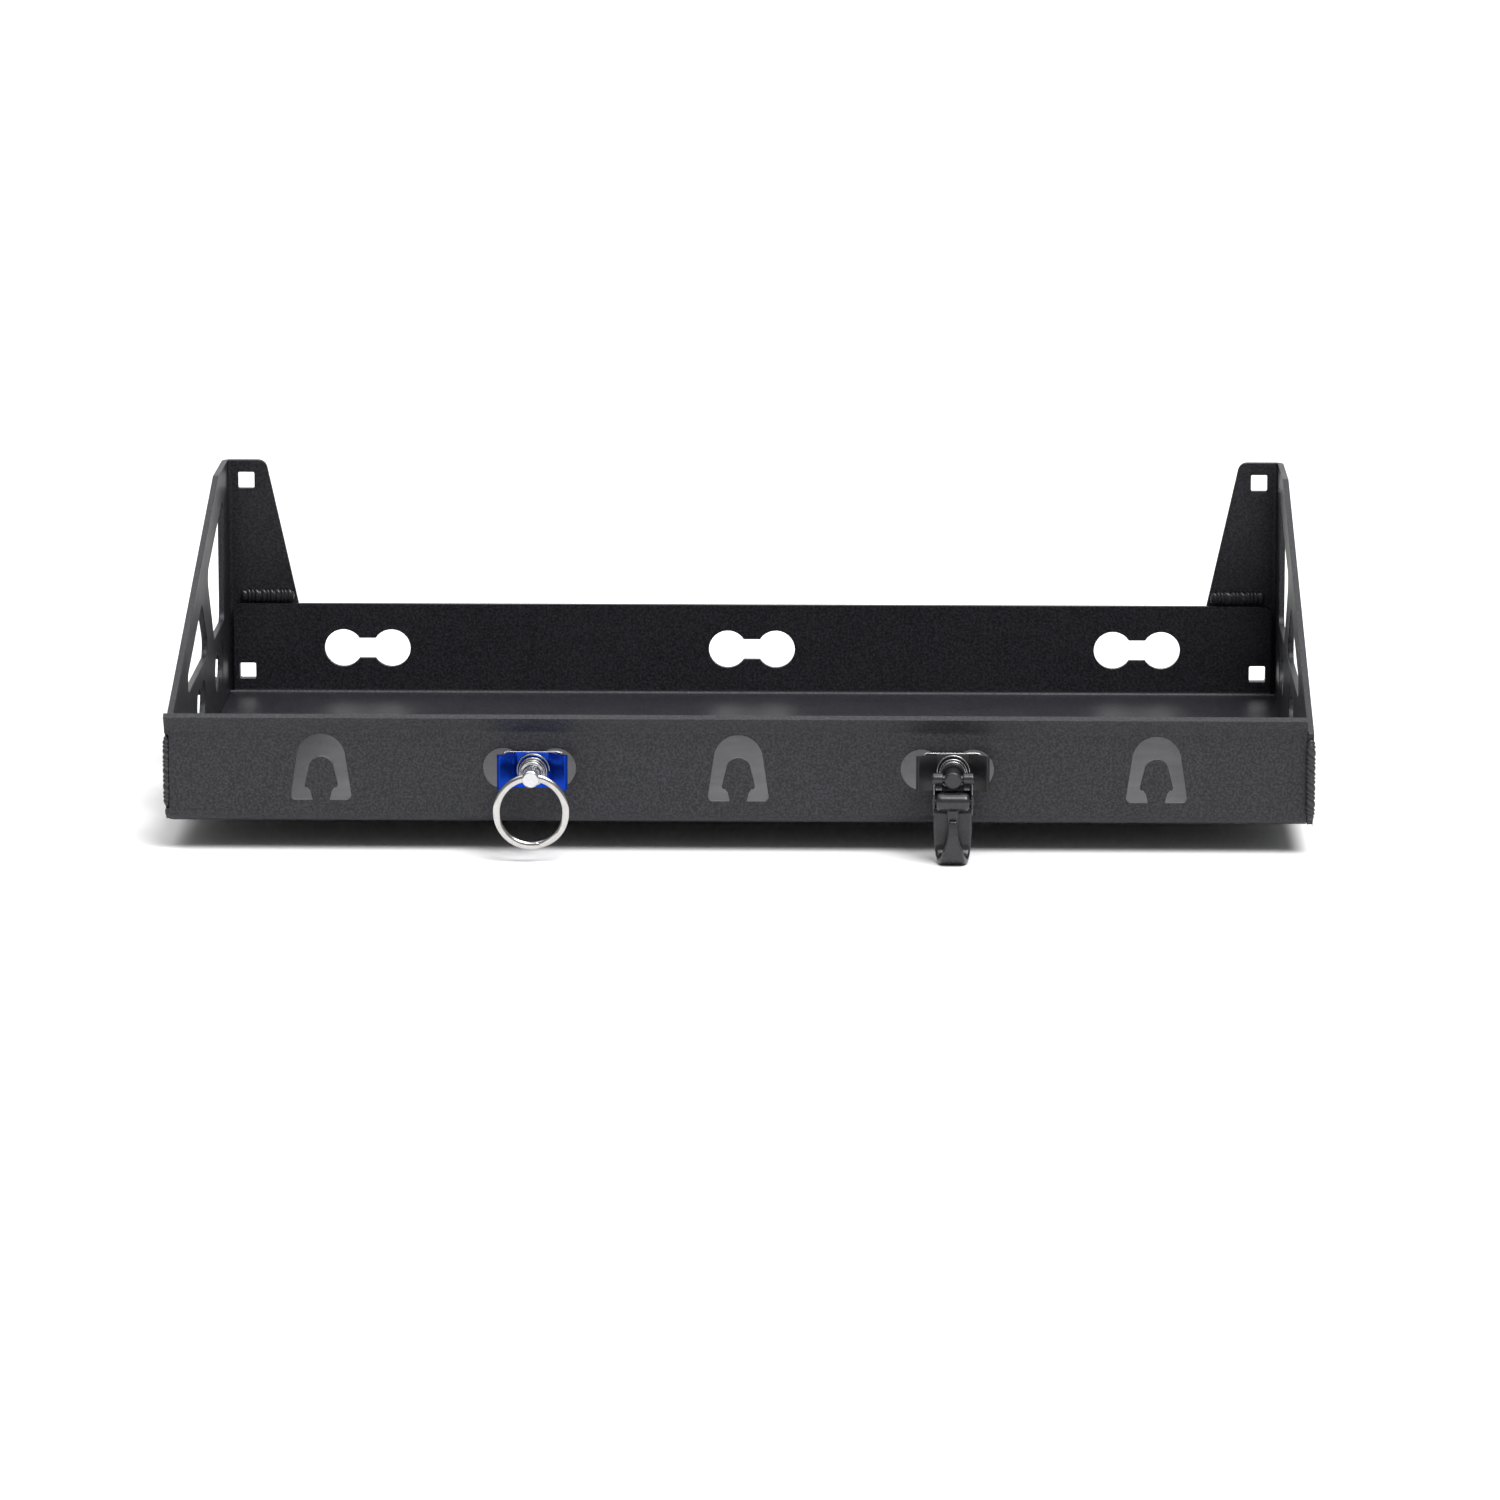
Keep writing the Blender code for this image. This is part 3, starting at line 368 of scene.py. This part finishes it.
# ---- Springs of both fittings -----------------------------------------------------------
# Conical coils of bright drawn spring wire, wide at the slider and narrow at the clip, which
# push the slider against the slot. They shorten as the slider is pulled out.
WIRE = 0.0010
WIDE, NARROW = 0.0080, 0.0053   # mean radius of its first and last turns
SPRING_TURNS = 3.5
FLAT_TURN = 0.75            # turns that lie flat, shared by the two ends
OUTWARD = (0.0, -1.0, 0.0)

# Drawn spring wire: bright grey steel, faintly mottled in tone and gloss.
wire_steel, tree, shader, place = start_material("drawn_spring_wire", Metallic=1.0)
drawn = node(tree, "TexNoise", {"Vector": place, "Scale": 1 / 0.0004, "Detail": 3.0})
tone = node(tree, "Mix", {0: drawn.outputs[0], 6: linear("868688"), 7: linear("b4b4b4")},
            data_type="RGBA")
tree.links.new(tone.outputs[2], shader.inputs["Base Color"])
gloss = node(tree, "MapRange", {"Value": drawn.outputs[0], "To Min": 0.18, "To Max": 0.34})
tree.links.new(gloss.outputs[0], shader.inputs["Roughness"])


def tube_along(path, radius, sides):
    """Rings of a round wire: at each point of the path, radius * (cos a, sin a) across it."""
    along = np.gradient(path, axis=0)
    along /= np.linalg.norm(along, axis=1, keepdims=True)
    lead = np.cross(along, OUTWARD)
    lead /= np.linalg.norm(lead, axis=1, keepdims=True)
    over = np.cross(along, lead)
    a = np.linspace(0, 2 * np.pi, sides, endpoint=False)[None, :, None]
    return path[:, None] + radius * (np.cos(a) * lead[:, None] + np.sin(a) * over[:, None])


def conical_spring(prefix):
    """A coil in its CAD solid's box: the radius falls from WIDE to NARROW with the square root
    of the rise towards the clip, and a little of each end lies flat."""
    low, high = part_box(prefix + "_spring")
    clip_low, clip_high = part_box(prefix + "_spring_clip")
    centre = (clip_low + clip_high) / 2
    t = np.linspace(0, 1, 260)
    flat = FLAT_TURN / SPRING_TURNS
    rise = np.clip((t - flat / 2) / (1 - flat), 0, 1)
    radius = WIDE + (NARROW - WIDE) * rise ** 0.5
    a = 2 * np.pi * SPRING_TURNS * t
    start, end = high.y - WIRE / 2, low.y + WIRE / 2
    path = np.stack([centre.x + radius * np.cos(a), start + (end - start) * rise,
                     centre.z + radius * np.sin(a)], -1)
    piece = closed_tube(prefix + "_conical_spring", tube_along(path, WIRE / 2, 14), wire_steel)
    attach(piece, "tray")
    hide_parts(prefix + "_spring")
    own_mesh(piece)


conical_spring("ring")


# ---- Split ring -------------------------------------------------------------------------
# A key ring of flattened bright wire: two turns pressed together, with one step where the
# wire passes from the front turn to the back one. It hangs through the stud's cross hole.
RING_OUTER, RING_INNER = 0.0185, 0.0151
RING_WIRE = 0.0014
RING_STEP = math.radians(215)

# Nickel plate: warm white metal, polished, so it mirrors the bright floor and the black tray.
nickel, tree, shader, place = start_material("polished_nickel_plate", Metallic=1.0)
haze = node(tree, "TexNoise", {"Vector": place, "Scale": 1 / 0.003, "Detail": 3.0})
tone = node(tree, "Mix", {0: haze.outputs[0], 6: linear("a9a7a5"), 7: linear("cfcdca")},
            data_type="RGBA")
tree.links.new(tone.outputs[2], shader.inputs["Base Color"])
gloss = node(tree, "MapRange", {"Value": haze.outputs[0], "To Min": 0.10, "To Max": 0.24})
tree.links.new(gloss.outputs[0], shader.inputs["Roughness"])


def split_ring():
    """Two turns of a flattened wire.

    The angle runs through two circles less a gap. The section is an ellipse as wide as
    the ring and half its thickness, and it shifts from the rear layer to the front one by a
    smooth step at the middle of the run.
    """
    joint = next(j for j in frame["joints"] if j["name"] == "ring_swing")
    hang = np.array(joint["pos_m"])
    mean, half_wide = (RING_OUTER + RING_INNER) / 2, (RING_OUTER - RING_INNER) / 2
    half_thick = RING_WIRE / 2
    layer = RING_WIRE / 2 + 0.0001
    clear, step = math.radians(22), math.radians(17)
    run = np.linspace(clear, 4 * np.pi - clear, 420)
    blend = np.clip((run - 2 * np.pi) / step / 2 + 0.5, 0, 1)
    blend = blend * blend * (3 - 2 * blend)
    depth = layer * (1 - 2 * blend)
    end = np.clip(np.minimum(run - clear, 4 * np.pi - clear - run) / 0.06, 0, 1)
    grow = (0.7 + 0.3 * np.sqrt(end))[:, None]
    a = np.linspace(0, 2 * np.pi, 16, endpoint=False)[None, :]
    wide = half_wide * np.cos(a) * grow
    thick = half_thick * np.sin(a) * grow
    angle = (RING_STEP + np.pi / 2 + run)[:, None]
    rings = np.stack([hang[0] + (mean + wide) * np.cos(angle), hang[1] + depth[:, None] + thick,
                      hang[2] - mean + (mean + wide) * np.sin(angle)], -1)
    piece = closed_tube("key_ring", rings, nickel)
    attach(piece, "ring")
    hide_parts("split_ring")


split_ring()


# ---- Hook fitting: stud, clip, lock plate and slider --------------------------------------
# The same base as the ring's, with a black coated stud and clip and a black anodised slider.
# Its plated lock plate and spring stay bright.

# Black oxide with oil: near black, half gloss, with slight cloudiness.
black_steel, tree, shader, place = start_material("black_phosphated_steel", IOR=1.5, Roughness=0.3)
cloud = node(tree, "TexNoise", {"Vector": place, "Scale": 1 / 0.002, "Detail": 3.0})
tone = node(tree, "Mix", {0: cloud.outputs[0], 6: linear("161618"), 7: linear("2a2a2d")},
            data_type="RGBA")
tree.links.new(tone.outputs[2], shader.inputs["Base Color"])
relief = node(tree, "Bump", {"Height": cloud.outputs[0], "Distance": 0.00003})
tree.links.new(relief.outputs[0], shader.inputs["Normal"])

# Black anodised aluminium: dyed oxide, satin, with faint brush lines.
black_anodised, tree, shader, place = start_material("black_anodised_aluminium", IOR=1.5)
stretched = node(tree, "Mapping", {"Vector": place, "Scale": (0.04, 1.0, 1.0)})
lines = node(tree, "TexNoise", {"Vector": stretched.outputs[0], "Scale": 1 / BRUSH, "Detail": 2.0})
tone = node(tree, "Mix", {0: lines.outputs[0], 6: linear("0d0d0f"), 7: linear("1c1c1f")},
            data_type="RGBA")
tree.links.new(tone.outputs[2], shader.inputs["Base Color"])
gloss = node(tree, "MapRange", {"Value": lines.outputs[0], "To Min": 0.30, "To Max": 0.42})
tree.links.new(gloss.outputs[0], shader.inputs["Roughness"])

rounded_copy("hook_stud", "hook_plain_stud", black_steel, FINE_EDGE)
rounded_copy("hook_spring_clip", "hook_retaining_clip", black_steel, FINE_EDGE)
rounded_copy("hook_lock_plate", "hook_lug_plate", plated, FINE_EDGE)
rounded_copy("hook_slider", "hook_winged_slider", black_anodised, 0.0003)
conical_spring("hook")


# ---- Snap hook ----------------------------------------------------------------------------
# The hook is cast in steel, tumbled smooth and coated black. It swings on a cross pin through
# the stud; its gate is a hollow barrel with a narrow tongue, closed by a coil on its own pin.
# Black enamel over cast steel: soft orange-peel ripple under a half gloss.
enamel, tree, shader, place = start_material("black_enamelled_casting", IOR=1.5, Roughness=0.27)
peel = node(tree, "TexNoise", {"Vector": place, "Scale": 1 / 0.0014, "Detail": 2.0})
tone = node(tree, "Mix", {0: peel.outputs[0], 6: linear("19191c"), 7: linear("2d2d31")},
            data_type="RGBA")
tree.links.new(tone.outputs[2], shader.inputs["Base Color"])
relief = node(tree, "Bump", {"Height": peel.outputs[0], "Distance": 0.00004})
tree.links.new(relief.outputs[0], shader.inputs["Normal"])

VOXEL = 0.0003              # finer than the casting's smallest round


def cast_copy(cad_node, name, finish, rounds):
    """A CAD solid remeshed in small voxels and smoothed, which rounds it as casting does."""
    mesh = frame["nodes"][cad_node].data.copy()
    bm = bmesh.new()
    bm.from_mesh(mesh)
    bmesh.ops.remove_doubles(bm, verts=bm.verts, dist=1e-6)
    bm.to_mesh(mesh)
    bm.free()
    mesh.name = name
    mesh.materials.clear()
    mesh.materials.append(finish)
    piece = bpy.data.objects.new(name, mesh)
    bpy.context.scene.collection.objects.link(piece)
    remesh = piece.modifiers.new("voxels", "REMESH")
    remesh.mode, remesh.voxel_size, remesh.use_smooth_shade = "VOXEL", VOXEL, True
    smooth = piece.modifiers.new("tumbled", "SMOOTH")
    smooth.factor, smooth.iterations = 0.5, rounds
    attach(piece, frame["nodes"][cad_node]["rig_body"])
    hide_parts(cad_node)


cast_copy("hook_body", "cast_hook", enamel, 6)
cast_copy("hook_gate", "cast_gate", enamel, 6)
rounded_copy("hook_pin", "hook_cross_pin", black_steel, FINE_EDGE)
rounded_copy("gate_pin", "gate_hinge_pin", black_steel, FINE_EDGE)
rounded_copy("gate_spring", "gate_torsion_spring", wire_steel, 0.00005)
